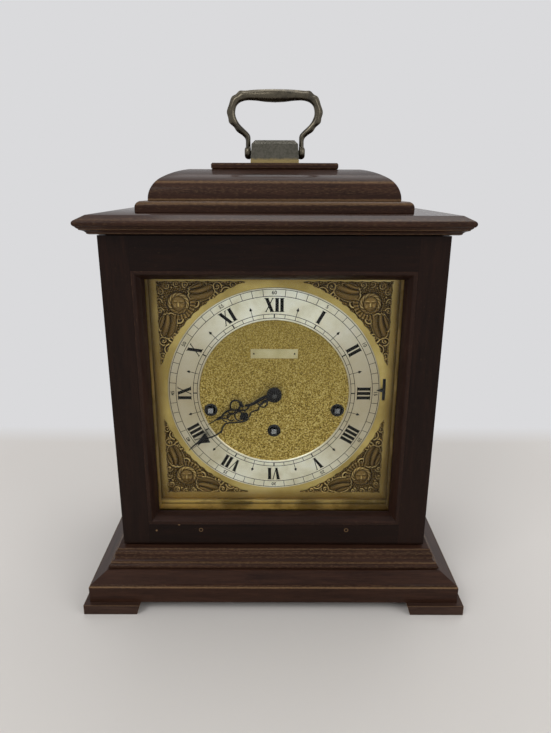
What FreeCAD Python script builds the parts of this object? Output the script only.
import FreeCAD, Part
import math
import os

import Sketcher

from FreeCAD import Placement, Rotation, Vector

# A bell-top bracket clock: a moulded hardwood case with a glazed front door, a square brass
# dial and a three-train spring-driven movement that chimes on rods.
# Row frame: X to the right, Y from front to back, Z up, with the origin on the table under the
# middle of the feet. Lengths are millimetres and angles degrees.

# Driving dimensions. Each becomes one aliased cell of the sheet.
SIZES = {
    # case body and door opening
    "case_width": 227.4,
    "case_depth": 137.4,
    "side_board": 12.0,
    "door_thickness": 19.0,
    "door_gap": 0.8,
    "door_stile": 19.7,
    "door_top_rail_width": 22.6,
    "door_bottom_rail_width": 16.7,
    "door_foot_gap": 1.2,
    "door_moulding_width": 6.8,
    "door_moulding_depth": 9.0,
    "glass_thickness": 2.0,
    "glass_play": 0.5,
    "retainer_wall": 1.0,
    "retainer_recess": 0.5,
    # base, from the table up
    "foot_height": 7.6,
    "foot_length": 41.6,
    "foot_overhang": 26.3,
    "foot_bevel": 2.6,
    "base_height": 19.9,
    "base_overhang": 22.4,
    "plinth_height": 14.0,
    "plinth_overhang": 10.9,
    # case body height and the mouldings above it
    "body_height": 231.3,
    "cornice_height": 12.1,
    "cornice_overhang": 11.5,
    "bell_inset": 28.0,
    "bell_step_height": 7.7,
    "bell_step_overhang": 7.6,
    "bell_height": 21.0,
    "bell_run": 25.6,
    "cap_length": 90.0,
    "cap_height": 4.3,
    "cap_rounding": 1.2,
    # carrying handle and its bracket
    "bracket_length": 34.4,
    "bracket_depth": 16.0,
    "bracket_height": 13.4,
    "bracket_shoulder": 3.2,
    "bracket_flange": 2.2,
    "bracket_flange_depth": 21.0,
    "handle_half_width": 34.2,
    "handle_reach": 42.2,
    "handle_depth": 5.2,
    "handle_pivot_height": 7.4,
    "eye_radius": 4.5,
    "eye_length": 4.3,
    "eye_gap": 0.25,
    "journal_radius": 1.8,
    "grip_radius": 4.3,
    "grip_end_radius": 3.3,
    "grip_half_length": 20.0,
    # butt hinges, the same for both doors
    "hinge_height": 26.0,
    "hinge_leaf": 9.0,
    "hinge_leaf_thickness": 1.0,
    "hinge_leaf_clearance": 0.1,
    "hinge_knuckle_radius": 1.7,
    "hinge_pin_radius": 0.9,
    "hinge_proud": 2.0,
    "hinge_inset": 34.0,
    "knuckle_gap": 0.15,
    # back door
    "back_door_thickness": 9.0,
    "back_door_inset": 0.5,
    "knob_radius": 6.5,
    "knob_length": 11.0,
    "knob_from_edge": 15.0,
    "catch_length": 22.0,
    "catch_height": 9.0,
    "catch_depth": 10.0,
    # dial
    "dial_half": 88.0,
    "dial_centre_height": 157.0,
    "dial_thickness": 1.5,
    "dial_behind_door": 3.0,
    "dial_board_thickness": 10.0,
    "dial_play": 0.5,
    "dial_hole_radius": 3.4,
    "ring_outer_radius": 78.1,
    "ring_inner_radius": 55.0,
    "ring_thickness": 0.8,
    "nameplate_length": 34.0,
    "nameplate_width": 6.9,
    "nameplate_thickness": 0.5,
    "nameplate_above_centre": 30.1,
    "spandrel_corner": 83.5,
    "spandrel_leg": 68.0,
    "spandrel_thickness": 1.6,
    "spandrel_boss_radius": 8.0,
    "spandrel_boss_height": 3.2,
    "spandrel_arc_radius": 101.7,
    "spandrel_ring_gap": 2.9,
    "grommet_radius": 4.7,
    "grommet_hole_radius": 4.0,
    "grommet_bore_radius": 3.3,
    "grommet_flange": 0.6,
    "lever_slot_offset": 80.7,
    "lever_slot_width": 2.4,
    "lever_slot_height": 17.0,
    "lever_slot_above_centre": 2.6,
    "lever_pivot_offset": 36.0,
    "lever_before_plate": 4.0,
    "lever_thickness": 1.0,
    "lever_width": 4.0,
    "lever_tab_width": 1.2,
    "lever_tab_height": 3.0,
    # movement frame
    "movement_behind_dial": 9.2,
    "plate_thickness": 2.5,
    "plate_half_width": 74.0,
    "plate_below_centre": 57.5,
    "plate_above_centre": 54.5,
    "plate_spacing": 42.0,
    "pillar_radius": 3.6,
    "pillar_pin_radius": 2.0,
    "pillar_inset": 7.0,
    "nut_radius": 4.2,
    "nut_height": 3.0,
    "dial_foot_radius": 2.5,
    "bracket_tab_width": 12.0,
    "bracket_side_gap": 1.7,
    "running_clearance": 0.05,
    "pivot_radius": 0.8,
    "pivot_proud": 0.3,
    "arbor_radius": 1.2,
    # winding
    "winding_spread": 47.0,
    "winding_side_drop": 13.6,
    "winding_centre_drop": 30.1,
    "winding_square": 3.8,
    "winding_arbor_radius": 3.0,
    "winding_square_proud": 2.2,
    "barrel_radius": 20.3,
    "barrel_wall": 1.2,
    "barrel_length": 30.0,
    "barrel_front": 4.0,
    "great_wheel_thickness": 2.4,
    "mainspring_strip": 0.45,
    "mainspring_pitch": 1.35,
    "mainspring_core_radius": 5.2,
    "ratchet_radius": 8.5,
    "ratchet_thickness": 1.8,
    # wheels and pinions
    "great_teeth": 60,
    "second_pinion_leaves": 10,
    "second_teeth": 48,
    "centre_pinion_leaves": 8,
    "centre_teeth": 64,
    "third_pinion_leaves": 8,
    "third_teeth": 60,
    "escape_pinion_leaves": 8,
    "escape_teeth": 15,
    "cannon_leaves": 12,
    "minute_teeth": 36,
    "minute_pinion_leaves": 10,
    "hour_teeth": 40,
    "great_module": 0.72,
    "second_module": 0.625,
    "centre_module": 0.475,
    "centre_wheel_behind_plate": 0.6,
    "third_wheel_behind_plate": 14.0,
    "escape_wheel_behind_plate": 24.0,
    "second_wheel_before_back": 3.4,
    "third_angle": 110.0,
    "escape_angle": 60.0,
    "minute_wheel_angle": 60.0,
    "third_module": 0.45,
    "cannon_module": 0.5,
    "wheel_thickness": 1.2,
    "pinion_overlap": 0.5,
    "escape_radius": 7.5,
    # hands
    "minute_hand_length": 78.0,
    "hour_hand_length": 55.0,
    "hand_thickness": 0.6,
    "hand_bar_width": 1.3,
    "minute_hand_above_dial": 5.6,
    "hour_hand_above_dial": 3.2,
    "minute_angle": 235.1,
    "hour_angle": 243.6,
    "cannon_bore_radius": 1.0,
    "cannon_pipe_radius": 1.8,
    "hour_pipe_radius": 2.6,
    "hub_radius": 5.0,
    "hand_nut_radius": 2.2,
    "hand_nut_height": 1.4,
    # balance and pallets
    "balance_radius": 11.0,
    "balance_rim": 1.6,
    "balance_offset": 24.0,
    "balance_above_centre": 33.0,
    "balance_before_back": 12.5,
    "pallet_reach": 9.6,
    "pallet_clearance": 0.35,
    "pallet_depth": 1.55,
    # chime drum, hammers and rods
    "hammer_pivot_offset": 36.0,
    "hammer_pivot_above_plate_foot": 6.5,
    "hammer_rod_radius": 2.0,
    "hammer_pitch": 9.0,
    "hammer_first": 7.0,
    "hammer_thickness": 2.0,
    "hammer_arm": 24.0,
    "hammer_bar": 2.4,
    "hammer_head_radius": 3.6,
    "hammer_head_length": 9.0,
    "hammer_lift": 2.4,
    "hammer_tail": 9.0,
    "chime_rod_radius": 1.6,
    "chime_rod_length": 160.0,
    "chime_rod_step": 9.0,
    "rod_block_length": 16.0,
    "rod_block_height": 26.0,
    "drum_radius": 5.5,
    "drum_cam_radius": 7.6,
    "drum_offset": 18.0,
    "drum_cam_thickness": 2.4,
    "chime_rod_drop": 11.5,
    "frame_plate_thickness": 2.0,
    "frame_plate_margin": 10.0,
    "frame_plate_height": 20.0,
}

# How many of each repeated piece.
HAMMERS = 4

# Profiles of the mouldings, chosen by hand as shares of each board's overhang and height, from
# the foot of the outline up. A third number bends the run that ends there into an arc whose
# radius is that share of the height: positive bulges outward, negative hollows.
BASE_PROFILE_SHARES = ((1.0, 0.0), (1.0, 0.623), (0.975, 0.658, 0.0402), (0.955, 0.663),
                       (0.955, 0.693), (0.933, 0.719, 0.0261), (0.491, 1.0))
PLINTH_PROFILE_SHARES = ((0.817, 0.0), (0.835, 0.25, 0.1286), (0.817, 0.321),
                         (0.583, 0.479, -0.2286), (0.541, 0.671), (0.45, 0.85, 0.3286),
                         (0.394, 0.864), (0.394, 0.943), (0.303, 1.0, 0.075))
CORNICE_PROFILE_SHARES = ((0.31, 0.0), (0.435, 0.045), (0.435, 0.079), (0.643, 0.223, -0.3471),
                          (0.757, 0.264), (0.757, 0.31), (0.896, 0.43, 0.1983),
                          (0.93, 0.75, 0.1727), (0.43, 1.0))
# How far the planes that mitre a moulding reach, as a share of its overhang and height.
MITRE_REACH_SHARE = 1.5
# Moulding round the glass, as shares of its width and depth from the door's face inward.
MOULDING_PROFILE_SHARES = ((0.0, 0.0), (0.42, 0.22), (1.0, 0.92), (1.0, 1.0))
BELL_STEP_PROFILE_SHARES = ((1.0, 0.0), (1.0, 0.48), (0.47, 1.0, 0.52))
BELL_PROFILE_SHARES = ((1.0, 0.0), (1.0, 0.029), (0.658, 0.737, 0.81), (0.0, 1.0, 2.252))
CAP_PROFILE_SHARES = ((0.4, 0.0), (1.0, 0.2), (1.0, 0.7), (0.2, 1.0, 0.36))
BRACKET_PROFILE_SHARES = ((1.0, 0.0), (0.79, 0.81), (0.0, 1.0))

# Outline of the handle as shares of its half width and of its reach above the pivot, going up
# the outside from the eye to the top and down the inside. A third number hollows the run that
# ends there into a scallop, or rounds it, with a radius that is a share of the half width.
HANDLE_OUTER_SHARES = ((0.643, 0.0), (0.63, 0.150), (0.70, 0.204), (0.863, 0.332, -0.26),
                       (0.971, 0.462, -0.26), (1.0, 0.649, -0.26), (0.892, 0.877, -0.32),
                       (0.722, 0.964, -0.26), (0.58, 0.957))
HANDLE_INNER_SHARES = ((0.55, 0.80), (0.722, 0.78, -0.30), (0.830, 0.60, -0.30),
                       (0.70, 0.372, -0.42), (0.522, 0.210), (0.522, 0.0))

# Scroll work on each leg of a corner ornament: distance along the leg, distance in from the
# outer edge and radius of each raised scroll, as shares of the leg.
SPANDREL_SCROLL_SHARES = ((0.40, 0.150, 0.085), (0.52, 0.115, 0.070), (0.63, 0.085, 0.058),
                          (0.74, 0.065, 0.046), (0.84, 0.048, 0.034), (0.92, 0.036, 0.024))

# Pierced work of the hands as shares of their length: how far the bar runs, rings as offset to
# each side, distance out, radius and width, and the right half of the head's outline.
MINUTE_HAND_SHARES = {
    "bar": 0.80,
    "loops": ((0.030, 0.13, 0.036, 0.011), (0.024, 0.22, 0.030, 0.010),
              (0.034, 0.31, 0.038, 0.011), (0.022, 0.41, 0.027, 0.010),
              (0.0, 0.50, 0.030, 0.011), (0.0, 0.60, 0.044, 0.012)),
    "head": ((0.006, 0.66), (0.046, 0.68), (0.008, 0.82), (0.003, 1.0)),
}
HOUR_HAND_SHARES = {
    "bar": 0.62,
    "loops": ((0.044, 0.17, 0.052, 0.017), (0.036, 0.29, 0.044, 0.016),
              (0.060, 0.43, 0.064, 0.019), (0.034, 0.57, 0.040, 0.015),
              (0.0, 0.66, 0.050, 0.017)),
    "head": ((0.012, 0.69), (0.062, 0.74), (0.016, 0.90), (0.004, 1.0)),
}

# Tooth form: half widths as shares of the pitch at the root, on the pitch circle and at the
# tip, then how far root and tip lie from the pitch circle in modules.
WHEEL_TOOTH_SHARES = (0.23, 0.19, 0.07, 1.35, 0.95)
PINION_LEAF_SHARES = (0.15, 0.14, 0.07, 1.30, 0.60)

DOC = FreeCAD.newDocument("bracket_clock")
SHEET = DOC.addObject("Spreadsheet::Sheet", "Sizes")
NODES = []


class Size:
    """A length, angle or count that knows its value and the expression that gives it."""

    def __init__(self, value, text):
        self.value = value
        self.text = text

    def joined(self, other, sign, value, swapped=False):
        mine, theirs = self.text, other.text if isinstance(other, Size) else repr(other)
        first, last = (theirs, mine) if swapped else (mine, theirs)
        return Size(value, f"({first} {sign} {last})")

    def __add__(self, other):
        return self.joined(other, "+", self.value + number(other))

    def __sub__(self, other):
        return self.joined(other, "-", self.value - number(other))

    def __mul__(self, other):
        return self.joined(other, "*", self.value * number(other))

    def __truediv__(self, other):
        return self.joined(other, "/", self.value / number(other))

    def __rmul__(self, other):
        return self.joined(other, "*", number(other) * self.value, swapped=True)

    def __neg__(self):
        return Size(-self.value, f"(0 - {self.text})")


def root(size):
    return Size(math.sqrt(size.value), f"sqrt({size.text})")


def number(thing):
    """The plain value of a size, or a plain number as it is."""
    return thing.value if isinstance(thing, Size) else float(thing)


def fill_sheet():
    """Writes every driving dimension into the sheet and returns them as sizes."""
    for row, (alias, value) in enumerate(SIZES.items(), start=1):
        SHEET.set(f"A{row}", alias)
        SHEET.set(f"B{row}", str(value))
        SHEET.setAlias(f"B{row}", alias)
    DOC.recompute()
    return {alias: Size(float(getattr(SHEET, alias)), f"Sizes.{alias}") for alias in SIZES}


class Cells:
    """The sheet's cells as attributes."""

    def __init__(self, sizes):
        self.__dict__.update(sizes)


cell = Cells(fill_sheet())
zero = Size(0.0, "0")

# Turns that stand a drawing or a cylinder on another plane or axis.
ROTATIONS = {
    "x": Rotation(Vector(0, 1, 0), 90),
    "y": Rotation(Vector(1, 0, 0), -90),
    "z": Rotation(),
    "xz": Rotation(Vector(1, 0, 0), 90),
    "yz": Rotation(Vector(1, 1, 1), 120),
    "xy": Rotation(),
}


def bind(thing, prop, size):
    thing.setExpression(prop, size.text)


def put(thing, at, turn="z"):
    """Turns a piece onto an axis or plane and binds its position to three sizes."""
    thing.Placement = Placement(Vector(), ROTATIONS[turn])
    for axis, size in zip("xyz", at):
        bind(thing, f".Placement.Base.{axis}", size)
    return thing


def box(name, low, high):
    """A box between two corners."""
    made = DOC.addObject("Part::Box", name)
    for prop, lower, upper in zip(("Length", "Width", "Height"), low, high):
        bind(made, prop, upper - lower)
    return put(made, low)


def cylinder(name, at, radius, length, axis="y"):
    """A cylinder that starts at a point and runs along an axis."""
    made = DOC.addObject("Part::Cylinder", name)
    bind(made, "Radius", radius)
    bind(made, "Height", length)
    return put(made, at, axis)


def rod(name, at, radius, to_y):
    """A cylinder along Y from its front end to the depth given."""
    return cylinder(name, at, radius, to_y - at[1])


def fuse(name, parts):
    made = DOC.addObject("Part::MultiFuse", name)
    made.Shapes = parts
    return made


def group(name, parts):
    """Separate solids of one kind, kept apart in one piece."""
    made = DOC.addObject("Part::Compound", name)
    made.Links = parts
    return made


def cut(name, base, tools):
    made = DOC.addObject("Part::Cut", name)
    made.Base = base
    made.Tool = tools[0] if len(tools) == 1 else group(name + "_tools", tools)
    return made


def common(name, base, tool):
    made = DOC.addObject("Part::Common", name)
    made.Base = base
    made.Tool = tool
    return made


def feature(name, shape):
    """A piece whose shape is worked out here because no primitive or sketch gives it."""
    made = DOC.addObject("Part::Feature", name)
    made.Shape = shape
    return made


def node(thing, label=None):
    """Names a finished sub-part and lists it for the files."""
    thing.Label = label or thing.Name
    NODES.append(thing)
    return thing


def arc_between(start, end, radius, bulge):
    """The short arc from start to end: bulge 1 turns left on the way, -1 turns right."""
    chord = end - start
    half = chord.Length / 2
    left = Vector(-chord.y, chord.x, 0).normalize()
    centre = start + chord / 2 + left * (bulge * math.sqrt(radius * radius - half * half))
    ends = (start, end) if bulge > 0 else (end, start)
    angles = [math.atan2(p.y - centre.y, p.x - centre.x) for p in ends]
    if angles[1] < angles[0]:
        angles[1] += 2 * math.pi
    return Part.ArcOfCircle(Part.Circle(centre, Vector(0, 0, 1), radius), *angles)


def outline(name, points, plane, at):
    """A closed sketch whose corners and arc radii are bound to sizes. A point is (u, v) or
    (u, v, radius), where the radius bends the run that ends there, outward if positive on an
    outline drawn anticlockwise."""
    sketch = DOC.addObject("Sketcher::SketchObject", name)
    places = [Vector(u.value, v.value, 0) for u, v, *rest in points]
    ends = []
    for i, (u, v, *bend) in enumerate(points):
        start, end = places[i - 1], places[i]
        if bend:
            bulge = 1 if bend[0].value > 0 else -1
            arc = arc_between(start, end, abs(bend[0].value), bulge)
            index = sketch.addGeometry(arc, False)
            ends.append((index, 1, 2) if bulge > 0 else (index, 2, 1))
        else:
            index = sketch.addGeometry(Part.LineSegment(start, end), False)
            ends.append((index, 1, 2))
    for i, (index, first, last) in enumerate(ends):
        follower, follower_first, _ = ends[(i + 1) % len(ends)]
        sketch.addConstraint(
            Sketcher.Constraint("Coincident", index, last, follower, follower_first))
    for i, (u, v, *bend) in enumerate(points):
        index, _, last = ends[i]
        for kind, size in (("DistanceX", u), ("DistanceY", v)):
            label = f"{kind}_{i}"
            made = sketch.addConstraint(
                Sketcher.Constraint(kind, -1, 1, index, last, size.value))
            sketch.renameConstraint(made, label)
            bind(sketch, f"Constraints.{label}", size)
        if bend:
            radius = bend[0] if bend[0].value > 0 else -bend[0]
            made = sketch.addConstraint(Sketcher.Constraint("Radius", index, radius.value))
            sketch.renameConstraint(made, f"radius_{i}")
            bind(sketch, f"Constraints.radius_{i}", radius)
    return put(sketch, at, plane)


def extrusion(name, sketch, length):
    """A sketch thickened by half the length to each side of its plane."""
    made = DOC.addObject("Part::Extrusion", name)
    made.Base = sketch
    made.DirMode = "Normal"
    made.Solid = True
    made.Symmetric = True
    bind(made, "LengthFwd", length)
    return made


def mirrored(right):
    """Closes the right half of a symmetric outline with its mirror image. The runs of the
    left half keep the arcs of the right half, in reverse."""
    left = []
    for i in range(len(right) - 1, -1, -1):
        bend = right[i + 1][2:] if i + 1 < len(right) else ()
        left.append((-right[i][0], right[i][1], *bend))
    return list(right) + left


def crossed(name, first, first_plane, second, second_plane, at):
    """The solid common to two outlines carried across each other, which mitres its corners."""
    across = cell.case_width * 2
    parts = [extrusion(f"{name}_{plane}", outline(f"{name}_{plane}_outline", points, plane, at),
                       across)
             for points, plane in ((first, first_plane), (second, second_plane))]
    return common(name, *parts)


def moulded_board(name, foot, height, half_width, half_depth, overhang, shares):
    """A board with one moulding run round its four sides. The runs along its long sides and
    those across its ends are cut to upright planes that mitre the corners, then joined."""
    halves = []
    for core in (half_width, half_depth):
        right = [(core + overhang * out, height * up, *[height * r for r in radius])
                 for out, up, *radius in shares]
        halves.append(mirrored(right))
    at = (zero, zero, foot)
    wide = number(half_width) >= number(half_depth)
    longer, shorter = (half_width, half_depth) if wide else (half_depth, half_width)
    reach = overhang * MITRE_REACH_SHARE
    far, near, apex = longer + reach, shorter + reach, longer - shorter
    plan = [(-far, -near), (far, -near), (apex, zero), (far, near), (-far, near),
            (-apex, zero)]
    if not wide:
        plan = [(v, u) for u, v in plan]
    middle = (zero, zero, foot + height / 2)
    mitre = extrusion(f"{name}_mitre", outline(f"{name}_mitre_plan", plan, "xy", middle),
                      height * MITRE_REACH_SHARE)
    across = extrusion(f"{name}_ends", outline(f"{name}_ends_outline", halves[0 if wide else 1],
                                               "xz" if wide else "yz", at), near * 2)
    along = extrusion(f"{name}_sides", outline(f"{name}_sides_outline",
                                               halves[1 if wide else 0],
                                               "yz" if wide else "xz", at), far * 2)
    return fuse(name, [cut(f"{name}_end_runs", across, [mitre]),
                       common(f"{name}_side_runs", along, mitre)])


# Heights from the table up.
base_low = cell.foot_height
base_high = base_low + cell.base_height
body_low = base_high + cell.plinth_height
body_high = body_low + cell.body_height
cornice_high = body_high + cell.cornice_height
step_high = cornice_high + cell.bell_step_height
bell_top_height = step_high + cell.bell_height
cap_high = bell_top_height + cell.cap_height
pivot_height = cap_high + cell.handle_pivot_height

# Depths from front to back, and the case's half sizes.
half_width = cell.case_width / 2
half_depth = cell.case_depth / 2
front = -half_depth
door_back = front + cell.door_thickness
case_front = door_back + cell.door_gap
side_inner = half_width - cell.side_board

# The front door and its opening.
door_low = body_low + cell.door_foot_gap
door_high = body_high - cell.door_gap
opening_half = half_width - cell.door_stile
opening_low = door_low + cell.door_bottom_rail_width
opening_high = door_high - cell.door_top_rail_width
sight_half = opening_half - cell.door_moulding_width
sight_low = opening_low + cell.door_moulding_width
sight_high = opening_high - cell.door_moulding_width
glass_front = front + cell.door_moulding_depth
glass_back = glass_front + cell.glass_thickness

# The dial and the movement behind it.
dial_centre = cell.dial_centre_height
dial_front = door_back + cell.dial_behind_door
dial_back = dial_front + cell.dial_thickness
plate_front = dial_back + cell.movement_behind_dial
plate_inner = plate_front + cell.plate_thickness
back_inner = plate_inner + cell.plate_spacing
back_outer = back_inner + cell.plate_thickness
plate_low = dial_centre - cell.plate_below_centre
plate_high = dial_centre + cell.plate_above_centre
lever_height = dial_centre + cell.lever_slot_above_centre
lever_back = plate_front - cell.lever_before_plate
winding_places = (
    ("strike", -cell.winding_spread, dial_centre - cell.winding_side_drop),
    ("time", zero, dial_centre - cell.winding_centre_drop),
    ("chime", cell.winding_spread, dial_centre - cell.winding_side_drop),
)


def make_base():
    """Four corner pads with bevelled inner ends, the base board and the moulded plinth."""
    pads = []
    for right in (-1, 1):
        for back in (-1, 1):
            outlines = []
            for side, half in ((right, half_width), (back, half_depth)):
                outer = (half + cell.foot_overhang) * side
                inner = outer - cell.foot_length * side
                outlines.append([(inner + cell.foot_bevel * side, zero), (outer, zero),
                                 (outer, cell.foot_height), (inner, cell.foot_height)])
            pads.append(crossed(f"foot_{len(pads)}", outlines[0], "xz", outlines[1], "yz",
                                (zero, zero, zero)))
    node(group("feet", pads))
    node(moulded_board("base_board", base_low, cell.base_height, half_width, half_depth,
                       cell.base_overhang, BASE_PROFILE_SHARES))
    node(moulded_board("base_moulding", base_high, cell.plinth_height, half_width, half_depth,
                       cell.plinth_overhang, PLINTH_PROFILE_SHARES))


def make_top():
    """The cornice, the step under the bell, the bell itself and the board under the handle."""
    node(moulded_board("cornice", body_high, cell.cornice_height, half_width, half_depth,
                       cell.cornice_overhang, CORNICE_PROFILE_SHARES))
    bell_half_width = half_width - cell.bell_inset
    bell_half_depth = half_depth - cell.bell_inset
    node(moulded_board("bell_step", cornice_high, cell.bell_step_height, bell_half_width,
                       bell_half_depth, cell.bell_step_overhang, BELL_STEP_PROFILE_SHARES))
    flat_half_width = bell_half_width - cell.bell_run
    flat_half_depth = bell_half_depth - cell.bell_run
    node(moulded_board("bell_top", step_high, cell.bell_height, flat_half_width,
                       flat_half_depth, cell.bell_run, BELL_PROFILE_SHARES))
    node(moulded_board("cap_board", bell_top_height, cell.cap_height,
                       cell.cap_length / 2 - cell.cap_rounding,
                       flat_half_depth - cell.cap_rounding, cell.cap_rounding,
                       CAP_PROFILE_SHARES))


def butt_hinge(name, heights, at, turn):
    """One pair of butt hinges. Their leaves run from the pin towards the drawing's +X and lie
    flat on each other. Returns the fixed leaves with their pins and the door's leaves."""
    fixed, moving, pockets = [], [], {"fixed": [], "moving": []}
    segment = (cell.hinge_height - cell.knuckle_gap * 2) / 3
    reach = cell.hinge_proud + cell.hinge_leaf
    start = cell.hinge_knuckle_radius + cell.knuckle_gap
    for i, height in enumerate(heights):
        low = [height + (segment + cell.knuckle_gap) * k for k in range(3)]
        halves = {"fixed": (cell.hinge_leaf_clearance, (0, 2)),
                  "moving": (-cell.hinge_leaf_clearance - cell.hinge_leaf_thickness, (1,))}
        for side, (depth, segments) in halves.items():
            label = f"{name}_{side}_{i}"
            leaf_end = depth + cell.hinge_leaf_thickness
            parts = [box(f"{label}_leaf", (start, depth, height),
                         (reach, leaf_end, height + cell.hinge_height))]
            for k in segments:
                knuckle_high = low[k] + segment
                parts.append(box(f"{label}_tongue_{k}", (zero, depth, low[k]),
                                 (start, leaf_end, knuckle_high)))
                parts.append(cylinder(f"{label}_knuckle_{k}", (zero, zero, low[k]),
                                      cell.hinge_knuckle_radius, segment, "z"))
            pin_hole = cell.hinge_pin_radius
            if side == "moving":
                pin_hole = cell.hinge_pin_radius + cell.running_clearance
            bore = cylinder(f"{label}_bore", (zero, zero, height), pin_hole,
                            cell.hinge_height, "z")
            half = cut(f"{label}_half", fuse(f"{label}_blank", parts), [bore])
            place_hinge(half, at, turn)
            (fixed if side == "fixed" else moving).append(half)
            pocket = box(f"{label}_pocket", (cell.hinge_proud, depth, height),
                         (reach, leaf_end, height + cell.hinge_height))
            pockets[side].append(place_hinge(pocket, at, turn, height, depth))
        pin = cylinder(f"{name}_pin_{i}", (zero, zero, height), cell.hinge_pin_radius,
                       cell.hinge_height, "z")
        fixed.append(place_hinge(group(f"{name}_pin_{i}_placed", [pin]), at, turn))
    return fixed, moving, pockets


def place_hinge(thing, at, turn, height=None, depth=None):
    """Turns a hinge piece about the upright axis and moves its pin line to the place given."""
    corner = (cell.hinge_proud, depth, height) if height is not None else (zero, zero, zero)
    cosine, sine = (1, 0) if turn == 0 else (0, -1)
    thing.Placement = Placement(Vector(), Rotation(Vector(0, 0, 1), turn))
    bind(thing, ".Placement.Base.x", at[0] + corner[0] * cosine - corner[1] * sine)
    bind(thing, ".Placement.Base.y", at[1] + corner[0] * sine + corner[1] * cosine)
    bind(thing, ".Placement.Base.z", corner[2])
    return thing


def make_case(front_pockets, back_pockets):
    """The two side boards, the board that frames the dial and the catches for both doors."""
    catch_y = half_depth - cell.back_door_inset - cell.back_door_thickness - cell.door_gap
    middle = (body_low + body_high) / 2
    magnet_radius = cell.catch_height / 2
    magnet_x = half_width - cell.side_board / 2
    for name, side in (("left", -1), ("right", 1)):
        low_x, high_x = (side_inner, half_width) if side > 0 else (-half_width, -side_inner)
        board = box(f"case_{name}_board", (low_x, case_front, body_low),
                    (high_x, half_depth, body_high))
        if side > 0:
            tools = back_pockets["fixed"] + [rod("magnet_hole", (magnet_x, case_front, middle),
                                                 magnet_radius, case_front + cell.catch_depth)]
        else:
            tools = front_pockets["fixed"]
        node(cut(f"case_{name}_side", board, tools))
    board_back = case_front + cell.dial_board_thickness
    hole = cell.dial_half + cell.dial_play
    board = box("dial_board_blank", (-side_inner, case_front, body_low),
                (side_inner, board_back, body_high))
    window = box("dial_window", (-hole, case_front, dial_centre - hole),
                 (hole, board_back, dial_centre + hole))
    node(cut("dial_board", board, [window]))
    magnet = rod("front_magnet", (magnet_x, case_front, middle), magnet_radius,
                 case_front + cell.catch_depth)
    stop = box("back_stop", (-side_inner, catch_y - cell.catch_depth, middle),
               (-side_inner + cell.catch_length, catch_y, middle + cell.catch_height))
    node(group("door_catches", [magnet, stop]))


def make_front_door(pockets, leaves):
    """Two stiles, two rails, the moulding round the opening, the glass and its brass liner."""
    def member(name, low, high, tools=()):
        board = box(f"{name}_board" if tools else name, low, high)
        node(cut(name, board, list(tools)) if tools else board)

    member("door_left_stile", (-half_width, front, door_low),
           (-opening_half, door_back, door_high), pockets["moving"])
    member("door_right_stile", (opening_half, front, door_low),
           (half_width, door_back, door_high))
    member("door_bottom_rail", (-opening_half, front, door_low),
           (opening_half, door_back, opening_low))
    member("door_top_rail", (-opening_half, front, opening_high),
           (opening_half, door_back, door_high))

    middle = (opening_low + opening_high) / 2
    opening_rise = (opening_high - opening_low) / 2
    blank = box("door_moulding_blank", (-opening_half, front, opening_low),
                (opening_half, glass_front, opening_high))
    across = [mirrored([(half - cell.door_moulding_width * inward,
                         cell.door_moulding_depth * deep)
                        for inward, deep in reversed(MOULDING_PROFILE_SHARES)])
              for half in (opening_half, opening_rise)]
    upright = [(deep, size) for size, deep in across[1]]
    funnel = crossed("door_funnel", across[0], "xy", upright, "yz", (zero, front, middle))
    node(cut("door_moulding", blank, [funnel]))

    play = cell.glass_play
    node(box("door_glass", (play - opening_half, glass_front, opening_low + play),
             (opening_half - play, glass_back, opening_high - play)))
    liner_back = door_back - cell.retainer_recess
    rings = []
    for name, start, outer in (("wall", glass_back, cell.retainer_wall),
                               ("flange", liner_back - cell.retainer_wall,
                                cell.door_moulding_width - play)):
        block = box(f"liner_{name}_block", (-sight_half - outer, start, sight_low - outer),
                    (sight_half + outer, liner_back, sight_high + outer))
        hole = box(f"liner_{name}_hole", (-sight_half, start, sight_low),
                   (sight_half, liner_back, sight_high))
        rings.append(cut(f"liner_{name}", block, [hole]))
    node(fuse("glass_liner", rings))
    node(group("front_hinge_door_leaves", leaves))


def make_back_door(pockets, leaves):
    """The plain back door, its turned knob and its hinge leaves."""
    edge = side_inner - cell.door_gap
    door_outer = half_depth - cell.back_door_inset
    door_inner = door_outer - cell.back_door_thickness
    low, high = body_low + cell.door_gap, body_high - cell.door_gap
    board = box("back_door_board", (-edge, door_inner, low), (edge, door_outer, high))
    node(cut("back_door", board, pockets["moving"]))
    knob_at = (cell.knob_from_edge - edge, door_outer, (low + high) / 2)
    shank = rod("knob_shank", knob_at, cell.knob_radius / 2, door_outer + cell.knob_length)
    head_at = (knob_at[0], door_outer + cell.knob_length / 2, knob_at[2])
    head = rod("knob_head", head_at, cell.knob_radius, door_outer + cell.knob_length)
    node(fuse("back_door_knob", [shank, head]))
    node(group("back_hinge_door_leaves", leaves))


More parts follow.
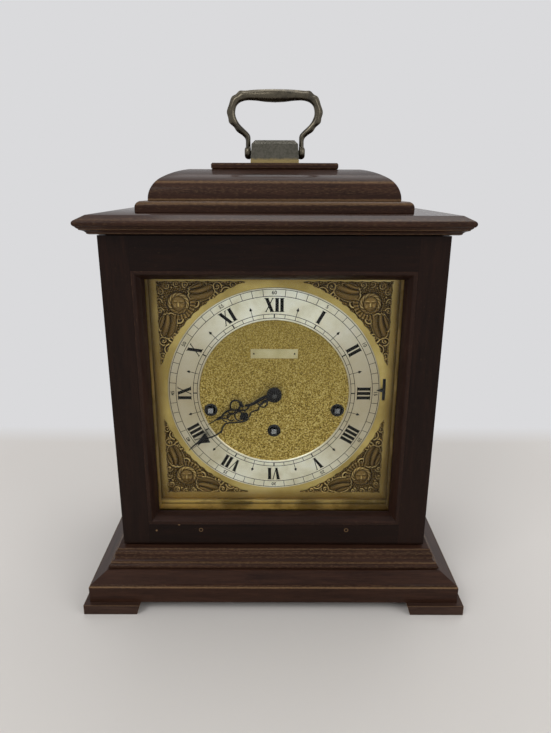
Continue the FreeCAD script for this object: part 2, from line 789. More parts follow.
def make_handle():
    """The bracket with its two journals, and the scalloped handle that swings on them."""
    flange_low = cap_high
    body_foot = cap_high + cell.bracket_flange
    flange_half = cell.bracket_flange_depth / 2
    flange = box("bracket_flange", (-cell.bracket_length / 2, -flange_half, flange_low),
                 (cell.bracket_length / 2, flange_half, body_foot))
    body = moulded_board("bracket_body", body_foot, cell.bracket_height,
                         cell.bracket_length / 2 - cell.bracket_shoulder,
                         cell.bracket_depth / 2 - cell.bracket_shoulder,
                         cell.bracket_shoulder, BRACKET_PROFILE_SHARES)
    eye_inner = cell.bracket_length / 2 + cell.eye_gap
    eye_outer = eye_inner + cell.eye_length
    journal = cylinder("bracket_journal", (-eye_outer, zero, pivot_height),
                       cell.journal_radius, eye_outer * 2, "x")
    node(fuse("handle_bracket", [flange, body, journal]))

    half, reach = cell.handle_half_width, cell.handle_reach
    right = [(half * out, reach * up, *[half * r for r in radius])
             for out, up, *radius in HANDLE_OUTER_SHARES]
    inner = [(half * out, reach * up, *[half * r for r in radius])
             for out, up, *radius in HANDLE_INNER_SHARES]
    mirror_inner = [(-u, v) for u, v, *_ in inner]
    inner_back = [(u, v, *bend) for (u, v), bend in
                  zip(reversed(mirror_inner), [()] + [p[2:] for p in reversed(inner[1:])])]
    left = []
    for i in range(len(right) - 1, -1, -1):
        bend = right[i + 1][2:] if i + 1 < len(right) else ()
        left.append((-right[i][0], right[i][1], *bend))
    loop = right + left + inner_back + inner
    arms = extrusion("handle_arms", outline("handle_outline", loop, "xz",
                                            (zero, zero, pivot_height)), cell.handle_depth)
    parts = [arms]
    for side in (-1, 1):
        start = eye_inner if side > 0 else -eye_outer
        parts.append(cylinder(f"handle_eye_{side + 1}", (start, zero, pivot_height),
                              cell.eye_radius, cell.eye_length, "x"))
    grip_height = pivot_height + reach - cell.grip_radius
    for side, turn in ((-1, -90), (1, 90)):
        cone = DOC.addObject("Part::Cone", f"handle_grip_{side + 1}")
        bind(cone, "Radius1", cell.grip_radius)
        bind(cone, "Radius2", cell.grip_end_radius)
        bind(cone, "Height", cell.grip_half_length)
        cone.Placement = Placement(Vector(), Rotation(Vector(0, 1, 0), turn))
        bind(cone, ".Placement.Base.z", grip_height)
        parts.append(cone)
    journal_hole = cylinder("handle_bore", (-eye_outer, zero, pivot_height),
                            cell.journal_radius + cell.running_clearance, eye_outer * 2, "x")
    node(cut("handle", fuse("handle_blank", parts), [journal_hole]))


def make_dial():
    """The dial plate with its feet, the chapter ring, the corner ornaments, the nameplate and
    the grommets round the winding holes."""
    half = cell.dial_half
    plate = box("dial_sheet", (-half, dial_front, dial_centre - half),
                (half, dial_back, dial_centre + half))
    feet = [rod(f"dial_foot_{i}", (x, dial_back, z), cell.dial_foot_radius, plate_front)
            for i, (x, z) in enumerate(corner_places(cell.pillar_inset * 2))]
    holes = [rod("dial_centre_hole", (zero, dial_front, dial_centre), cell.dial_hole_radius,
                 dial_back)]
    grommets = []
    for name, x, z in winding_places:
        holes.append(rod(f"{name}_dial_hole", (x, dial_front, z), cell.grommet_hole_radius,
                         dial_back))
        collar_front = dial_front - cell.grommet_flange
        collar = rod(f"{name}_collar", (x, collar_front, z), cell.grommet_radius, dial_front)
        sleeve = rod(f"{name}_sleeve", (x, dial_front, z), cell.grommet_hole_radius, dial_back)
        bore = rod(f"{name}_bore", (x, collar_front, z), cell.grommet_bore_radius, dial_back)
        grommets.append(cut(f"{name}_grommet", fuse(f"{name}_grommet_blank",
                                                    [collar, sleeve]), [bore]))
    slot_low = lever_height - cell.lever_slot_height / 2
    slot_left = cell.lever_slot_offset - cell.lever_slot_width / 2
    holes.append(box("lever_slot", (slot_left, dial_front, slot_low),
                     (slot_left + cell.lever_slot_width, dial_back,
                      slot_low + cell.lever_slot_height)))
    node(cut("dial_plate", fuse("dial_plate_blank", [plate, *feet]), holes))
    node(group("winding_grommets", grommets))

    ring_at = (zero, dial_front - cell.ring_thickness, dial_centre)
    node(cut("chapter_ring", rod("ring_disc", ring_at, cell.ring_outer_radius, dial_front),
             [rod("ring_hole", ring_at, cell.ring_inner_radius, dial_front)]))
    name_low = dial_centre + cell.nameplate_above_centre - cell.nameplate_width / 2
    node(box("nameplate", (-cell.nameplate_length / 2, dial_front - cell.nameplate_thickness,
                           name_low),
             (cell.nameplate_length / 2, dial_front, name_low + cell.nameplate_width)))
    node(group("spandrels", [spandrel(f"spandrel_{name}", right, up) for up, right, name in (
        (1, -1, "top_left"), (1, 1, "top_right"),
        (-1, -1, "bottom_left"), (-1, 1, "bottom_right"))]))


def spandrel(name, right, up):
    """One corner casting: a web between the dial's corner and the chapter ring, raised scrolls
    along both legs that shrink towards the tips, and a round boss near the corner."""
    corner, leg = cell.spandrel_corner, cell.spandrel_leg
    web_front = dial_front - cell.spandrel_thickness
    low_x, high_x = (corner - leg, corner) if right > 0 else (-corner, leg - corner)
    low_z, high_z = (corner - leg, corner) if up > 0 else (-corner, leg - corner)
    web = box(f"{name}_web", (low_x, web_front, dial_centre + low_z),
              (high_x, dial_front, dial_centre + high_z))
    sweep = cell.spandrel_arc_radius
    diagonal = (cell.ring_outer_radius + cell.spandrel_ring_gap - sweep) / math.sqrt(2)
    clear = rod(f"{name}_sweep", (diagonal * right, web_front, dial_centre + diagonal * up),
                sweep, dial_front)
    boss_at = corner - leg / 4
    scroll_front = web_front - cell.spandrel_thickness / 2
    parts = [cut(f"{name}_trimmed", web, [clear]),
             rod(f"{name}_boss", (boss_at * right, dial_front - cell.spandrel_boss_height,
                                  dial_centre + boss_at * up),
                 cell.spandrel_boss_radius, dial_front)]
    for i, (along, inward, radius) in enumerate(SPANDREL_SCROLL_SHARES):
        near, far = corner - leg * inward, corner - leg * along
        for across, (x, z) in enumerate(((near, far), (far, near))):
            parts.append(rod(f"{name}_scroll_{i}_{across}",
                             (x * right, scroll_front, dial_centre + z * up),
                             leg * radius, dial_front))
    return fuse(name, parts)


def corner_places(inset):
    """The four corners of the movement's plates, drawn in by an inset."""
    x = cell.plate_half_width - inset
    return [(x * side, z) for z in (plate_low + inset, plate_high - inset) for side in (-1, 1)]


def make_movement_frame(places):
    """Two brass plates held apart by four pillars, and the tabs that carry them. Each place
    lists a name, x, z and the radii of the holes in the front and the back plate."""
    half = cell.plate_half_width
    pillars = []
    holes = {"front": [], "back": []}
    spans = {"front": (plate_front, plate_inner), "back": (back_inner, back_outer)}
    for i, (x, z) in enumerate(corner_places(cell.pillar_inset)):
        pin_front, pin_back = plate_front, back_outer + cell.nut_height
        shaft = rod(f"pillar_{i}_shaft", (x, plate_inner, z), cell.pillar_radius, back_inner)
        pin = rod(f"pillar_{i}_pin", (x, pin_front, z), cell.pillar_pin_radius, pin_back)
        nut = rod(f"pillar_{i}_nut", (x, back_outer, z), cell.nut_radius, pin_back)
        pillars.append(fuse(f"pillar_{i}", [shaft, pin, nut]))
        for side, (start, end) in spans.items():
            holes[side].append(rod(f"pillar_{i}_{side}_hole", (x, start, z),
                                   cell.pillar_pin_radius, end))
    node(group("pillars", pillars))
    for name, x, z, *radii in places:
        for (side, (start, end)), radius in zip(spans.items(), radii):
            if radius:
                holes[side].append(rod(f"{name}_{side}_hole", (x, start, z),
                                       radius + cell.running_clearance, end))
    for side, (start, end) in spans.items():
        sheet = box(f"{side}_plate_sheet", (-half, start, plate_low), (half, end, plate_high))
        drilled = cut(f"{side}_plate_drilled", sheet, holes[side])
        if side == "front":
            stud_front = lever_back - cell.lever_thickness * 1.5
            stud = rod("lever_stud", (cell.lever_pivot_offset, stud_front, lever_height),
                       cell.arbor_radius, plate_front)
            drilled = fuse("front_plate_whole", [drilled, stud])
        node(drilled, f"{side}_plate")
    tabs = []
    board_back = case_front + cell.dial_board_thickness
    reach = side_inner - cell.bracket_side_gap
    for i, (x, z) in enumerate(corner_places(cell.pillar_inset * 4)):
        inner = half - cell.pillar_inset
        low_x, high_x = (-reach, -inner) if i % 2 == 0 else (inner, reach)
        low_z = z - cell.bracket_tab_width / 2
        tabs.append(box(f"tab_{i}", (low_x, board_back, low_z),
                        (high_x, plate_front, low_z + cell.bracket_tab_width)))
    node(group("movement_brackets", tabs))


def gear(name, teeth, module, shares, phase, at, to_y):
    """A gear blank with straight-flanked teeth, centred at the phase plus whole pitches,
    anticlockwise as seen from the front."""
    root_half, flank_half, tip_half, down, up = shares
    count, size = int(teeth.value), module.value
    radius = size * count / 2
    pitch = 2 * math.pi / count
    low, high = radius - down * size, radius + up * size
    ring = [(-root_half, low), (-flank_half, radius), (-tip_half, high),
            (tip_half, high), (flank_half, radius), (root_half, low)]
    corners = [Vector(reach * math.cos(phase + (k + share) * pitch), 0,
                      reach * math.sin(phase + (k + share) * pitch))
               for k in range(count) for share, reach in ring]
    face = Part.Face(Part.makePolygon(corners + corners[:1]))
    thickness = number(to_y - at[1])
    return put(feature(name, face.extrude(Vector(0, thickness, 0))), at)


def meshed(phase, teeth, direction, own_teeth):
    """Phase of a gear that meets a neighbour, where direction is the way from the neighbour's
    centre to its own: a gap of its own faces each tooth of the neighbour there."""
    ratio = teeth.value / own_teeth.value
    return direction + math.pi + (direction - phase) * ratio + math.pi / own_teeth.value


def windows(name, radius, hub, at, to_y, count=5):
    """Round windows that lighten a wheel between its hub and its rim."""
    middle, hole = (radius + hub) / 2, (radius - hub) * 0.28
    return [rod(f"{name}_window_{k}",
                (at[0] + middle * math.cos(2 * math.pi * k / count), at[1],
                 at[2] + middle * math.sin(2 * math.pi * k / count)), hole, to_y)
            for k in range(count)]


def arbor(name, place, front_radius=None, front_end=None):
    """An arbor between the plates with a pivot through each, the front one longer or stouter
    where it carries something in front of the plate."""
    x, z = place
    gap = cell.running_clearance
    tip = front_end or plate_front - cell.pivot_proud
    return [rod(f"{name}_arbor", (x, plate_inner + gap, z), cell.arbor_radius,
                back_inner - gap),
            rod(f"{name}_front_pivot", (x, tip, z), front_radius or cell.pivot_radius,
                plate_inner + cell.arbor_radius),
            rod(f"{name}_back_pivot", (x, back_inner - cell.arbor_radius, z),
                cell.pivot_radius, back_outer + cell.pivot_proud)]


def away(place, distance, angle):
    """The place at a distance and an angle in degrees from another, anticlockwise from +X."""
    turn = math.radians(number(angle))
    return (place[0] + distance * math.cos(turn), place[1] + distance * math.sin(turn))


def bearing(start, end):
    """The direction from one place to another, in radians."""
    return math.atan2(number(end[1] - start[1]), number(end[0] - start[0]))


def make_winding():
    """Per train a winding arbor with its ratchet and a toothed barrel on it; the middle barrel
    also holds its mainspring."""
    wheel_front = plate_inner + cell.barrel_front
    wheel_back = wheel_front + cell.great_wheel_thickness
    drum_back = wheel_front + cell.barrel_length
    gap = cell.running_clearance
    half_square = cell.winding_square / 2
    inner_front, inner_back = wheel_front + cell.barrel_wall, drum_back - cell.barrel_wall
    for name, x, z in winding_places:
        square_front = dial_front - cell.winding_square_proud
        ratchet_back = plate_front - gap * 4
        ratchet_front = ratchet_back - cell.ratchet_thickness
        node(fuse(f"{name}_winding_arbor", [
            box(f"{name}_square", (x - half_square, square_front, z - half_square),
                (x + half_square, ratchet_front, z + half_square)),
            rod(f"{name}_ratchet", (x, ratchet_front, z), cell.ratchet_radius, ratchet_back),
            rod(f"{name}_shaft", (x, ratchet_back, z), cell.winding_arbor_radius,
                back_inner - gap),
            rod(f"{name}_core", (x, inner_front + gap, z),
                cell.mainspring_core_radius - gap * 4, inner_back - gap),
            rod(f"{name}_pivot", (x, back_inner - gap, z), cell.pillar_pin_radius,
                back_outer + cell.pivot_proud)]))
        phase = time_phase if name == "time" else 0.0
        blank = fuse(f"{name}_barrel_blank", [
            gear(f"{name}_great_wheel", cell.great_teeth, cell.great_module,
                 WHEEL_TOOTH_SHARES, phase, (x, wheel_front, z), wheel_back),
            rod(f"{name}_shell", (x, wheel_front, z), cell.barrel_radius, drum_back)])
        node(cut(f"{name}_barrel", blank, [
            rod(f"{name}_hollow", (x, inner_front, z), cell.barrel_radius - cell.barrel_wall,
                inner_back),
            rod(f"{name}_barrel_bore", (x, wheel_front, z), cell.winding_arbor_radius + gap,
                drum_back)]))
    _, x, z = winding_places[1]
    node(coiled_strip("time_mainspring", (x, inner_front, z), inner_back))


def coiled_strip(name, at, to_y):
    """A flat strip wound outward in half circles whose centres take turns at the axis and half
    a pitch beside it."""
    step = cell.mainspring_pitch.value / 2
    strip = cell.mainspring_strip.value
    limit = number(cell.barrel_radius - cell.barrel_wall) - 2 * step
    radii = []
    radius = cell.mainspring_core_radius.value
    while radius + strip < limit:
        radii.append(radius)
        radius += step
    sides = []
    for extra in (0, strip):
        arcs = []
        for k, radius in enumerate(radii):
            side = 1 if k % 2 == 0 else -1
            middle = 0 if side > 0 else step
            reach = (radius + extra) * side
            arcs.append(Part.Arc(Vector(middle + reach, 0, 0), Vector(middle, 0, reach),
                                 Vector(middle - reach, 0, 0)).toShape())
        sides.append(arcs)
    caps = [Part.makeLine(sides[0][i].Vertexes[j].Point, sides[1][i].Vertexes[j].Point)
            for i, j in ((0, 0), (-1, 1))]
    wire = Part.Wire(Part.sortEdges(sides[0] + sides[1] + caps)[0])
    width = number(to_y - at[1])
    return put(feature(name, Part.Face(wire).extrude(Vector(0, width, 0))), at)


def make_going_train():
    """The going train from the second wheel to the escape wheel, each on its own arbor."""
    great_front = plate_inner + cell.barrel_front
    great_back = great_front + cell.great_wheel_thickness
    second_front = back_inner - cell.second_wheel_before_back
    centre_front = plate_inner + cell.centre_wheel_behind_plate
    third_front = plate_inner + cell.third_wheel_behind_plate
    escape_front = plate_inner + cell.escape_wheel_behind_plate
    over, thick = cell.pinion_overlap, cell.wheel_thickness

    second_wheel_phase = 0.0
    second = gear("second_rim", cell.second_teeth, cell.second_module, WHEEL_TOOTH_SHARES,
                  second_wheel_phase, (second_place[0], second_front, second_place[1]),
                  second_front + thick)
    second_radius = cell.second_teeth * cell.second_module / 2
    rim = cut("second_crossed", second, windows(
        "second", second_radius, cell.pillar_radius,
        (second_place[0], second_front, second_place[1]), second_front + thick))
    pinion = gear("second_pinion", cell.second_pinion_leaves, cell.great_module,
                  PINION_LEAF_SHARES,
                  meshed(time_phase, cell.great_teeth, bearing(time_place, second_place),
                         cell.second_pinion_leaves),
                  (second_place[0], great_front - over, second_place[1]), great_back + over)
    node(fuse("second_wheel", [rim, pinion, *arbor("second", second_place)]))

    centre_wheel_phase = 0.0
    centre_radius = cell.centre_teeth * cell.centre_module / 2
    rim_at = (centre_place[0], centre_front, centre_place[1])
    rim = cut("centre_crossed", gear("centre_rim", cell.centre_teeth, cell.centre_module,
                                     WHEEL_TOOTH_SHARES, centre_wheel_phase, rim_at,
                                     centre_front + thick),
              windows("centre", centre_radius, cell.pillar_radius, rim_at,
                      centre_front + thick))
    pinion = gear("centre_pinion", cell.centre_pinion_leaves, cell.second_module,
                  PINION_LEAF_SHARES,
                  meshed(second_wheel_phase, cell.second_teeth,
                         bearing(second_place, centre_place), cell.centre_pinion_leaves),
                  (centre_place[0], second_front - over, centre_place[1]),
                  second_front + thick + over)
    node(fuse("centre_wheel", [rim, pinion, *arbor(
        "centre", centre_place, cell.cannon_bore_radius,
        minute_hand_front - cell.hand_nut_height - cell.hand_thickness)]))

    third_wheel_phase = 0.0
    third_radius = cell.third_teeth * cell.third_module / 2
    rim_at = (third_place[0], third_front, third_place[1])
    rim = cut("third_crossed", gear("third_rim", cell.third_teeth, cell.third_module,
                                    WHEEL_TOOTH_SHARES, third_wheel_phase, rim_at,
                                    third_front + thick),
              windows("third", third_radius, cell.pillar_radius, rim_at,
                      third_front + thick))
    pinion = gear("third_pinion", cell.third_pinion_leaves, cell.centre_module,
                  PINION_LEAF_SHARES,
                  meshed(centre_wheel_phase, cell.centre_teeth,
                         bearing(centre_place, third_place), cell.third_pinion_leaves),
                  (third_place[0], centre_front - over, third_place[1]),
                  centre_front + thick + over)
    node(fuse("third_wheel", [rim, pinion, *arbor("third", third_place)]))

    escape_at = (escape_place[0], escape_front, escape_place[1])
    rim = escape_rim("escape_rim", escape_at, escape_front + thick)
    pinion = gear("escape_pinion", cell.escape_pinion_leaves, cell.third_module,
                  PINION_LEAF_SHARES,
                  meshed(third_wheel_phase, cell.third_teeth,
                         bearing(third_place, escape_place), cell.escape_pinion_leaves),
                  (escape_place[0], third_front - over, escape_place[1]),
                  third_front + thick + over)
    node(fuse("escape_wheel", [rim, pinion, *arbor("escape", escape_place)]))


def escape_rim(name, at, to_y):
    """The escape wheel's disc with pointed teeth that lean the way it turns."""
    count = int(cell.escape_teeth.value)
    tip = cell.escape_radius.value
    pitch = 2 * math.pi / count
    corners = []
    for k in range(count):
        for share, reach in ((0.0, tip * 0.72), (0.42, tip * 0.78), (0.62, tip), (0.70, tip),
                             (0.80, tip * 0.72)):
            angle = (k + share) * pitch
            corners.append(Vector(reach * math.cos(angle), 0, reach * math.sin(angle)))
    face = Part.Face(Part.makePolygon(corners + corners[:1]))
    return put(feature(name, face.extrude(Vector(0, number(to_y - at[1]), 0))), at)


def make_escapement():
    """The pallet lever over the escape wheel and the balance wheel beside it."""
    thick = cell.wheel_thickness
    escape_front = plate_inner + cell.escape_wheel_behind_plate
    x, z = escape_place
    pallet_x, pallet_z = x, z + cell.pallet_reach
    inner = cell.escape_radius + cell.pallet_clearance
    outer = inner + cell.pallet_depth
    at = (x, escape_front, z)
    arc = cut("pallet_arc", rod("pallet_disc", at, outer, escape_front + thick), [
        rod("pallet_clear", at, inner, escape_front + thick),
        box("pallet_below", (x - outer * 1.2, escape_front, z - outer * 1.2),
            (x + outer * 1.2, escape_front + thick, z + outer * 0.65))])
    hub = rod("pallet_hub", (pallet_x, escape_front, pallet_z), cell.cannon_pipe_radius,
              escape_front + thick)
    fork = box("pallet_fork", (pallet_x - cell.balance_radius, escape_front,
                               pallet_z - thick / 2),
               (pallet_x, escape_front + thick, pallet_z + thick / 2))
    node(fuse("pallet_lever", [arc, hub, fork, *arbor("pallet", (pallet_x, pallet_z))]))

    x, z = balance_place
    rim_front = back_inner - cell.balance_before_back
    rim_back = rim_front + cell.balance_rim
    at = (x, rim_front, z)
    ring = cut("balance_ring", rod("balance_disc", at, cell.balance_radius, rim_back),
               [rod("balance_hole", at, cell.balance_radius - cell.balance_rim, rim_back)])
    hub = rod("balance_hub", at, cell.hour_pipe_radius, rim_back)
    reach, half_bar = cell.balance_radius - cell.balance_rim / 2, cell.wheel_thickness / 2
    bars = [box("balance_bar_across", (x - reach, rim_front, z - half_bar),
                (x + reach, rim_back, z + half_bar)),
            box("balance_bar_up", (x - half_bar, rim_front, z - reach),
                (x + half_bar, rim_back, z + reach))]
    node(fuse("balance_wheel", [ring, hub, *bars, *arbor("balance", balance_place)]))


def make_motion_work():
    """The cannon pinion on the centre arbor, the minute wheel beside it and the hour wheel."""
    x, z = centre_place
    thick, gap = cell.wheel_thickness, cell.running_clearance
    cannon_back = plate_front - gap * 4
    wheel_back = cannon_back - thick / 2
    wheel_front = wheel_back - thick
    cannon_front = wheel_front - thick / 2
    hour_back = cannon_front - thick
    hour_front = hour_back - thick
    pinion_front = hour_front - thick / 2
    cannon_phase = 0.0
    direction = bearing(centre_place, minute_wheel_place)
    blank = fuse("cannon_blank", [
        gear("cannon_leaves_ring", cell.cannon_leaves, cell.cannon_module,
             PINION_LEAF_SHARES, cannon_phase, (x, cannon_front, z), cannon_back),
        rod("cannon_pipe", (x, minute_hand_front, z), cell.cannon_pipe_radius, cannon_back)])
    node(cut("cannon_pinion", blank, [
        rod("cannon_bore", (x, minute_hand_front, z), cell.cannon_bore_radius + gap,
            cannon_back)]))

    wheel_x, wheel_z = minute_wheel_place
    hour_module = (cell.cannon_module * (cell.cannon_leaves + cell.minute_teeth)
                   / (cell.minute_pinion_leaves + cell.hour_teeth))
    minute_radius = cell.minute_teeth * cell.cannon_module / 2
    rim_at = (wheel_x, wheel_front, wheel_z)
    rim = cut("minute_crossed", gear(
        "minute_rim", cell.minute_teeth, cell.cannon_module, WHEEL_TOOTH_SHARES,
        meshed(cannon_phase, cell.cannon_leaves, direction, cell.minute_teeth), rim_at,
        wheel_back), windows("minute", minute_radius, cell.pillar_radius, rim_at, wheel_back))
    pinion_phase = 0.0
    pinion = gear("minute_pinion", cell.minute_pinion_leaves, hour_module,
                  PINION_LEAF_SHARES, pinion_phase, (wheel_x, pinion_front, wheel_z),
                  wheel_front)
    stud = rod("minute_wheel_pivot", (wheel_x, wheel_back, wheel_z), cell.pivot_radius,
               plate_inner)
    node(fuse("minute_wheel", [rim, pinion, stud]))

    hour_radius = cell.hour_teeth * hour_module / 2
    rim_at = (x, hour_front, z)
    rim = cut("hour_crossed", gear(
        "hour_rim", cell.hour_teeth, hour_module, WHEEL_TOOTH_SHARES,
        meshed(pinion_phase, cell.minute_pinion_leaves, direction + math.pi,
               cell.hour_teeth), rim_at, hour_back),
        windows("hour", hour_radius, cell.hour_pipe_radius * 1.6, rim_at, hour_back))
    pipe = rod("hour_pipe", (x, hour_hand_front, z), cell.hour_pipe_radius, hour_back)
    bore = rod("hour_bore", (x, hour_hand_front, z), cell.cannon_pipe_radius + gap, hour_back)
    node(cut("hour_wheel", fuse("hour_wheel_blank", [rim, pipe]), [bore]))


def loop(name, across, up, radius, width):
    """One flat ring of a hand's pierced work, as a ring and its hole."""
    thick = cell.hand_thickness
    disc = rod(f"{name}_disc", (across, zero, up), radius, thick)
    hole = rod(f"{name}_hole", (across, zero, up), radius - width, thick)
    return cut(name, disc, [hole])


def hand_plate(name, points):
    """A flat closed outline of a hand, as thick as the hand."""
    sketch = outline(f"{name}_outline", points, "xz", (zero, cell.hand_thickness / 2, zero))
    return extrusion(name, sketch, cell.hand_thickness)


def make_hands():
    """Serpentine pierced hands, drawn pointing up and turned to the time they show."""
    bar = cell.hand_bar_width
    for name, length, shares, front_y, angle, bore, hub in (
            ("minute_hand", cell.minute_hand_length, MINUTE_HAND_SHARES, minute_hand_front,
             cell.minute_angle, cell.cannon_pipe_radius, cell.hub_radius),
            ("hour_hand", cell.hour_hand_length, HOUR_HAND_SHARES, hour_hand_front,
             cell.hour_angle, cell.hour_pipe_radius, cell.hub_radius)):
        parts = [rod(f"{name}_hub", (zero, zero, zero), hub, cell.hand_thickness),
                 box(f"{name}_bar", (-bar / 2, zero, zero),
                     (bar / 2, cell.hand_thickness, length * shares["bar"]))]
        for i, (across, up, radius, width) in enumerate(shares["loops"]):
            for side in (-1, 1) if across else (1,):
                parts.append(loop(f"{name}_loop_{i}_{side + 1}", length * across * side,
                                  length * up, length * radius, length * width))
        head = [(length * across, length * up) for across, up in shares["head"]]
        parts.append(hand_plate(f"{name}_head", mirrored(head)))
        holes = [rod(f"{name}_bore", (zero, zero, zero), bore, cell.hand_thickness)]
        if name == "minute_hand":
            nut_front = -cell.hand_nut_height
            parts.append(rod("hand_nut", (zero, nut_front, zero), cell.hand_nut_radius, zero))
            holes.append(rod("hand_nut_bore", (zero, nut_front, zero),
                             cell.cannon_bore_radius + cell.running_clearance, zero))
        made = node(cut(name, fuse(f"{name}_blank", parts), holes))
        made.Placement = Placement(Vector(), Rotation(Vector(0, 1, 0), angle.value))
        bind(made, ".Placement.Base.y", front_y)
        bind(made, ".Placement.Base.z", dial_centre)


def make_silent_lever():
    """The lever behind the dial that silences the chime, with its pointer in front."""
    x, z = cell.lever_pivot_offset, lever_height
    lever_front = lever_back - cell.lever_thickness
    half = cell.lever_width / 2
    tab_half, tab_rise = cell.lever_tab_width / 2, cell.lever_tab_height / 2
    end = cell.lever_slot_offset
    pointer_front = dial_front - cell.lever_thickness * 2
    pointer = outline("silent_pointer_outline", [
        (end - cell.lever_width * 1.4, zero), (end + tab_half, -half), (end + tab_half, half)],
        "xz", (zero, pointer_front + cell.lever_thickness / 2, z))
    blank = fuse("silent_lever_blank", [
        rod("silent_hub", (x, lever_front, z), cell.lever_width, lever_back),
        box("silent_arm", (x, lever_front, z - half), (end + tab_half, lever_back, z + half)),
        box("silent_tab", (end - tab_half, pointer_front, z - tab_rise),
            (end + tab_half, lever_back, z + tab_rise)),
        extrusion("silent_pointer", pointer, cell.lever_thickness)])
    node(cut("chime_silent_lever", blank, [
        rod("silent_bore", (x, lever_front, z), cell.arbor_radius + cell.running_clearance,
            lever_back)]))


def make_chime():
    """Hammers on a rod behind the movement, the drum that lifts them, and the rods they ring."""
    x, z = hammer_place
    frame_front = back_outer + cell.hammer_first + cell.hammer_pitch * (HAMMERS - 0.2)
    frame_back = frame_front + cell.frame_plate_thickness
    gap = cell.running_clearance
    bar, half_bar = cell.hammer_bar, cell.hammer_bar / 2
    half_height = cell.frame_plate_height / 2
    plate = box("frame_plate_sheet", (cell.drum_offset - cell.frame_plate_margin, frame_front,
                                      z - half_height),
                (x + cell.frame_plate_margin, frame_back, z + half_height))
    pivot = rod("frame_pivot_hole", (drum_place[0], frame_front, drum_place[1]),
                cell.pivot_radius + gap, frame_back)
    post_at = (x + cell.frame_plate_margin - cell.pillar_radius, back_outer,
               z - half_height + cell.pillar_pin_radius)
    node(fuse("hammer_frame", [
        cut("frame_plate", plate, [pivot]),
        rod("hammer_rod", (x, back_outer, z), cell.hammer_rod_radius, frame_front),
        rod("frame_post", post_at, cell.pillar_pin_radius, frame_front)]))

    rod_height = plate_low - cell.chime_rod_drop
    head_low = rod_height + cell.chime_rod_radius + cell.hammer_lift
    head_high = head_low + cell.hammer_head_length
    head_x = x + cell.hammer_arm
    block_left = side_inner - cell.rod_block_length
    rods, cams = [], []
    for i in range(HAMMERS):
        y = back_outer + cell.hammer_first + cell.hammer_pitch * i
        low_y, high_y = y - cell.hammer_thickness / 2, y + cell.hammer_thickness / 2
        blank = fuse(f"hammer_{i + 1}_blank", [
            box(f"hammer_{i + 1}_arm", (x - cell.hammer_tail, low_y, z - half_bar),
                (head_x + half_bar, high_y, z + half_bar)),
            box(f"hammer_{i + 1}_drop", (head_x - half_bar, low_y, head_high),
                (head_x + half_bar, high_y, z + half_bar)),
            rod(f"hammer_{i + 1}_hub", (x, low_y, z), cell.pillar_radius, high_y),
            cylinder(f"hammer_{i + 1}_head", (head_x, y, head_low), cell.hammer_head_radius,
                     cell.hammer_head_length, "z")])
        node(cut(f"hammer_{i + 1}", blank, [
            rod(f"hammer_{i + 1}_bore", (x, low_y, z), cell.hammer_rod_radius + gap,
                high_y)]))
        length = cell.chime_rod_length - cell.chime_rod_step * i
        rods.append(cylinder(f"chime_rod_{i + 1}", (block_left - length, y, rod_height),
                             cell.chime_rod_radius, length + cell.rod_block_length / 2, "x"))
        cams.append(rod(f"drum_cam_{i + 1}",
                        (drum_place[0], y - cell.drum_cam_thickness / 2, drum_place[1]),
                        cell.drum_cam_radius, y + cell.drum_cam_thickness / 2))
    drum_front = back_outer + gap * 4
    drum_back = frame_front - gap * 4
    node(fuse("chime_drum", [
        rod("drum_body", (drum_place[0], drum_front, drum_place[1]), cell.drum_radius,
            drum_back),
        rod("drum_pivots", (drum_place[0], back_inner - cell.pivot_proud, drum_place[1]),
            cell.pivot_radius, frame_back + cell.pivot_proud), *cams]))
    first_y = back_outer + cell.hammer_first
    half_block = cell.rod_block_height / 2
    block = box("rod_block", (block_left, first_y - cell.rod_block_length / 2,
                              rod_height - half_block),
                (side_inner, first_y + cell.hammer_pitch * (HAMMERS - 1)
                 + cell.rod_block_length / 2, rod_height + half_block))
    node(fuse("chime_rods", [block, *rods]))


# Where the arbors stand: x and height.
centre_place = (zero, dial_centre)
time_place = (winding_places[1][1], winding_places[1][2])
time_phase = 0.0
great_reach = (cell.great_teeth + cell.second_pinion_leaves) * cell.great_module / 2
second_reach = (cell.second_teeth + cell.centre_pinion_leaves) * cell.second_module / 2
drop = cell.winding_centre_drop
second_drop = (drop * drop + second_reach * second_reach - great_reach * great_reach) / (drop * 2)
second_place = (root(second_reach * second_reach - second_drop * second_drop),
                dial_centre - second_drop)
third_place = away(centre_place, (cell.centre_teeth + cell.third_pinion_leaves)
                   * cell.centre_module / 2, cell.third_angle)
escape_place = away(third_place, (cell.third_teeth + cell.escape_pinion_leaves)
                    * cell.third_module / 2, cell.escape_angle)
minute_wheel_place = away(centre_place, (cell.cannon_leaves + cell.minute_teeth)
                          * cell.cannon_module / 2, cell.minute_wheel_angle)
balance_place = (-cell.balance_offset, dial_centre + cell.balance_above_centre)
hammer_place = (cell.hammer_pivot_offset, plate_low + cell.hammer_pivot_above_plate_foot)
drum_place = (cell.drum_offset, hammer_place[1])
minute_hand_front = dial_front - cell.minute_hand_above_dial - cell.hand_thickness
hour_hand_front = dial_front - cell.hour_hand_above_dial - cell.hand_thickness


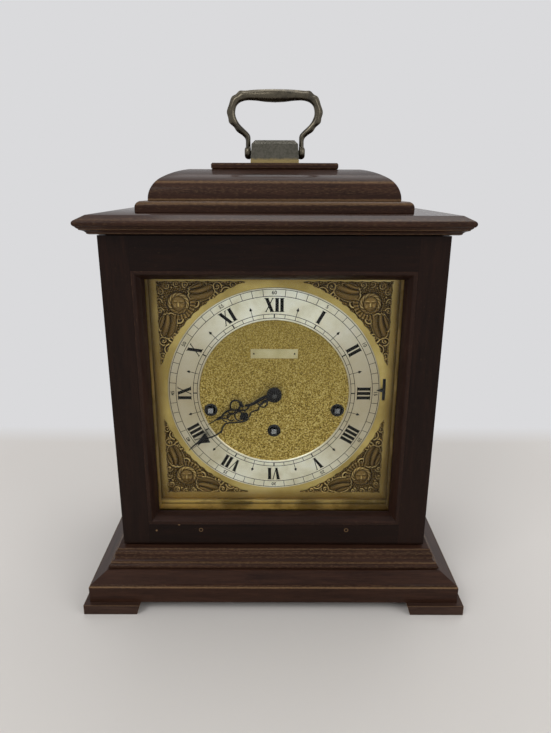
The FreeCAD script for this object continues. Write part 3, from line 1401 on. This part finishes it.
def make_hinges():
    """Two pairs of butt hinges. Returns what each door and the case need of them."""
    heights = [door_low + cell.hinge_inset,
               door_high - cell.hinge_inset - cell.hinge_height]
    front_at = (-half_width - cell.hinge_proud, door_back + cell.door_gap / 2)
    back_at = (side_inner - cell.door_gap / 2, half_depth + cell.hinge_proud)
    front_set = butt_hinge("front_hinge", heights, front_at, 0)
    back_set = butt_hinge("back_hinge", heights, back_at, -90)
    node(group("hinge_case_leaves", front_set[0] + back_set[0]))
    return front_set, back_set


def hole_places():
    """Every arbor that runs in the plates, with its radius in the front and back plate."""
    small = cell.pivot_radius
    through = [(f"{name}_arbor_place", x, z, cell.winding_arbor_radius, cell.pillar_pin_radius)
               for name, x, z in winding_places]
    trains = [("second", *second_place, small, small),
              ("centre", *centre_place, cell.cannon_bore_radius, small),
              ("third", *third_place, small, small),
              ("escape", *escape_place, small, small),
              ("pallet", escape_place[0], escape_place[1] + cell.pallet_reach, small, small),
              ("balance", *balance_place, small, small),
              ("minute", *minute_wheel_place, small, None),
              ("chime_drum", *drum_place, None, small)]
    return through + trains


def build():
    make_base()
    make_top()
    front_set, back_set = make_hinges()
    make_case(front_set[2], back_set[2])
    make_front_door(front_set[2], front_set[1])
    make_back_door(back_set[2], back_set[1])
    make_handle()
    make_dial()
    make_movement_frame(hole_places())
    make_winding()
    make_going_train()
    make_escapement()
    make_motion_work()
    make_hands()
    make_silent_lever()
    make_chime()


def checked():
    """Recomputes the document and stops on anything that failed or came out unsound."""
    DOC.recompute()
    faults = [f"{thing.Label}: {thing.State}" for thing in DOC.Objects
              if "Invalid" in thing.State or "Error" in thing.State]
    for piece in NODES:
        if piece.Shape.isNull() or not piece.Shape.isValid():
            faults.append(f"{piece.Label}: unsound shape")
    labels = [piece.Label for piece in NODES]
    faults += sorted({f"{label}: used twice" for label in labels if labels.count(label) > 1})
    if faults:
        raise RuntimeError("; ".join(faults))


def export():
    os.makedirs("parts", exist_ok=True)
    for piece in NODES:
        piece.Shape.exportStep(os.path.join("parts", f"{piece.Label}.step"))
        print(f"{piece.Label}: {piece.Shape.Volume:.1f} mm3, {len(piece.Shape.Solids)} solids")
    print(len(NODES), "sub-parts")


build()
checked()
export()
